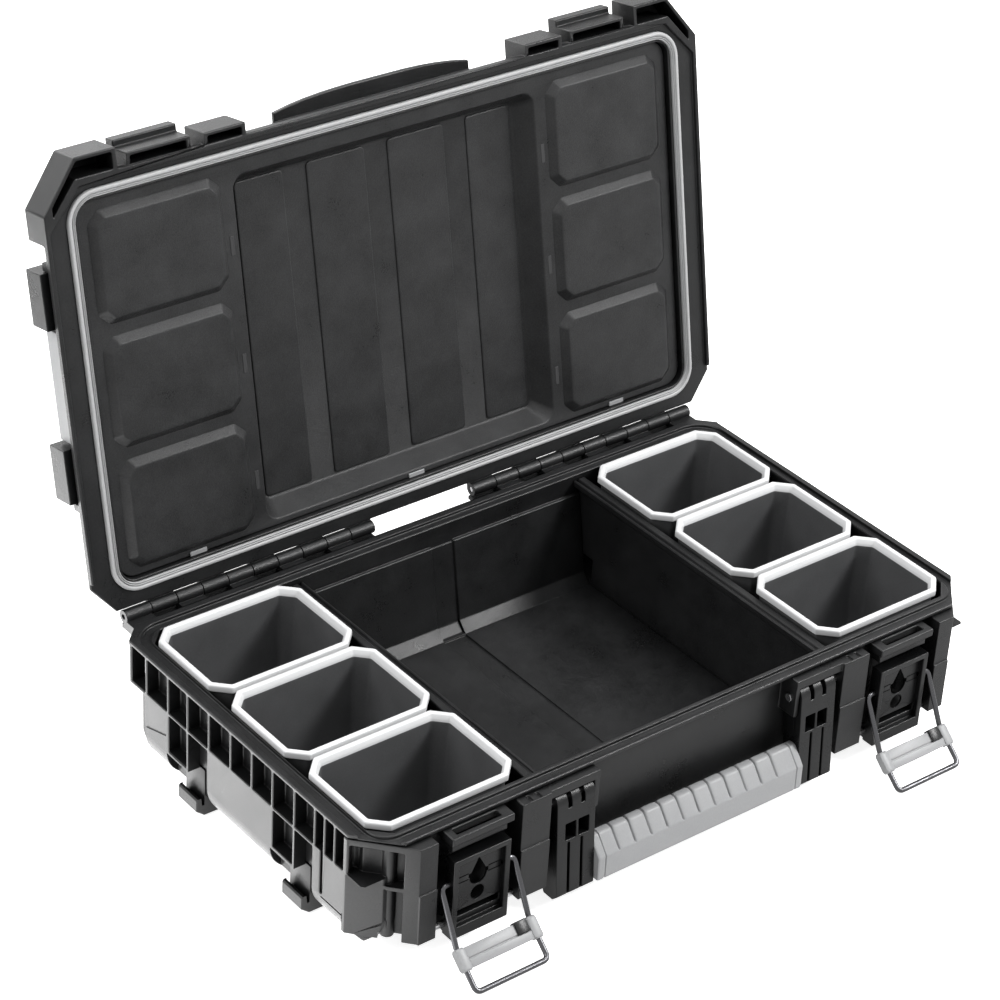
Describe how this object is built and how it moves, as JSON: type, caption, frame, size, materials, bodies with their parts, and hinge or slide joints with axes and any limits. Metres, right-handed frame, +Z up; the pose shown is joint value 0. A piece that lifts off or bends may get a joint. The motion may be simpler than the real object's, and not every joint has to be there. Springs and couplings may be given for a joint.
{
  "type": "tool case",
  "caption": "Hard tool case with hinged lid standing open, lift-out corner bins, middle well, wire bail latches with levers, swinging front handle and stack locks on the lid.",
  "frame": {"origin": "on the floor under the middle of the case", "axes": "+X to the right as seen from the latches, +Y towards the hinge, +Z up"},
  "size_m": [0.568, 0.4463, 0.4302],
  "materials": {
    "shell": "fine texture",
    "liner": "fine texture",
    "trim": "satin",
    "bin": "satin",
    "grip": "satin",
    "seal": "soft, matte",
    "foot": "matte",
    "wire": "dark plated",
    "pin": "plain"
  },
  "bodies": {
    "base": {"base_shell": "shell", "feet": "foot", "stacking_hooks": "trim", "divider_left": "shell", "divider_right": "shell", "hinge_rod_left": "pin", "hinge_rod_right": "pin", "lever_pin_left": "pin", "lever_pin_right": "pin", "handle_pin_left": "pin", "handle_pin_right": "pin"},
    "lid": {"lid_shell": "shell", "lid_liner": "liner", "lid_gasket": "seal", "liner_clips": "grip", "lock_pin_left": "pin", "lock_pin_right": "pin"},
    "handle": {"handle_arm_left": "trim", "handle_arm_right": "trim", "handle_grip": "grip"},
    "lever_left_body": {"lever_left": "trim"},
    "bail_left_body": {"bail_left": "wire", "bail_tab_left": "grip"},
    "lock_left_body": {"stack_lock_left": "trim", "lock_grip_left": "grip"},
    "lever_right_body": {"lever_right": "trim"},
    "bail_right_body": {"bail_right": "wire", "bail_tab_right": "grip"},
    "lock_right_body": {"stack_lock_right": "trim", "lock_grip_right": "grip"},
    "bin_left_rear_body": {"bin_left_rear": "bin"},
    "bin_left_middle_body": {"bin_left_middle": "bin"},
    "bin_left_front_body": {"bin_left_front": "bin"},
    "bin_right_rear_body": {"bin_right_rear": "bin"},
    "bin_right_middle_body": {"bin_right_middle": "bin"},
    "bin_right_front_body": {"bin_right_front": "bin"}
  },
  "joints": [
    {"name": "lid_hinge", "type": "hinge", "parent": "base", "child": "lid", "pos_m": [0, 0.16, 0.1045], "axis": [-1, 0, 0], "range_deg": [-101, 0]},
    {"name": "handle_swing", "type": "hinge", "parent": "base", "child": "handle", "pos_m": [0, -0.1485, 0.083], "axis": [-1, 0, 0], "range_deg": [0, 95]},
    {"name": "lever_left_tilt", "type": "hinge", "parent": "base", "child": "lever_left_body", "pos_m": [-0.188, -0.151, 0.024], "axis": [1, 0, 0], "range_deg": [0, 60]},
    {"name": "bail_left_swing", "type": "hinge", "parent": "lever_left_body", "child": "bail_left_body", "pos_m": [-0.188, -0.156, 0.06], "axis": [-1, 0, 0], "range_deg": [0, 136]},
    {"name": "lock_left_tilt", "type": "hinge", "parent": "lid", "child": "lock_left_body", "pos_m": [-0.268, 0.19895, 0.27393], "axis": [0, 0.1908, 0.9816], "range_deg": [0, 10], "stiffness_Nm_per_rad": 0.5, "springref_deg": -5.73},
    {"name": "lever_right_tilt", "type": "hinge", "parent": "base", "child": "lever_right_body", "pos_m": [0.188, -0.151, 0.024], "axis": [1, 0, 0], "range_deg": [0, 60]},
    {"name": "bail_right_swing", "type": "hinge", "parent": "lever_right_body", "child": "bail_right_body", "pos_m": [0.188, -0.156, 0.06], "axis": [-1, 0, 0], "range_deg": [0, 136]},
    {"name": "lock_right_tilt", "type": "hinge", "parent": "lid", "child": "lock_right_body", "pos_m": [0.268, 0.19895, 0.27393], "axis": [0, -0.1908, -0.9816], "range_deg": [0, 10], "stiffness_Nm_per_rad": 0.5, "springref_deg": -5.73},
    {"name": "bin_left_rear_lift", "type": "slide", "parent": "base", "child": "bin_left_rear_body", "axis": [0, 0, 1], "range_m": [0, 0.1]},
    {"name": "bin_left_middle_lift", "type": "slide", "parent": "base", "child": "bin_left_middle_body", "axis": [0, 0, 1], "range_m": [0, 0.1]},
    {"name": "bin_left_front_lift", "type": "slide", "parent": "base", "child": "bin_left_front_body", "axis": [0, 0, 1], "range_m": [0, 0.1]},
    {"name": "bin_right_rear_lift", "type": "slide", "parent": "base", "child": "bin_right_rear_body", "axis": [0, 0, 1], "range_m": [0, 0.1]},
    {"name": "bin_right_middle_lift", "type": "slide", "parent": "base", "child": "bin_right_middle_body", "axis": [0, 0, 1], "range_m": [0, 0.1]},
    {"name": "bin_right_front_lift", "type": "slide", "parent": "base", "child": "bin_right_front_body", "axis": [0, 0, 1], "range_m": [0, 0.1]}
  ]
}
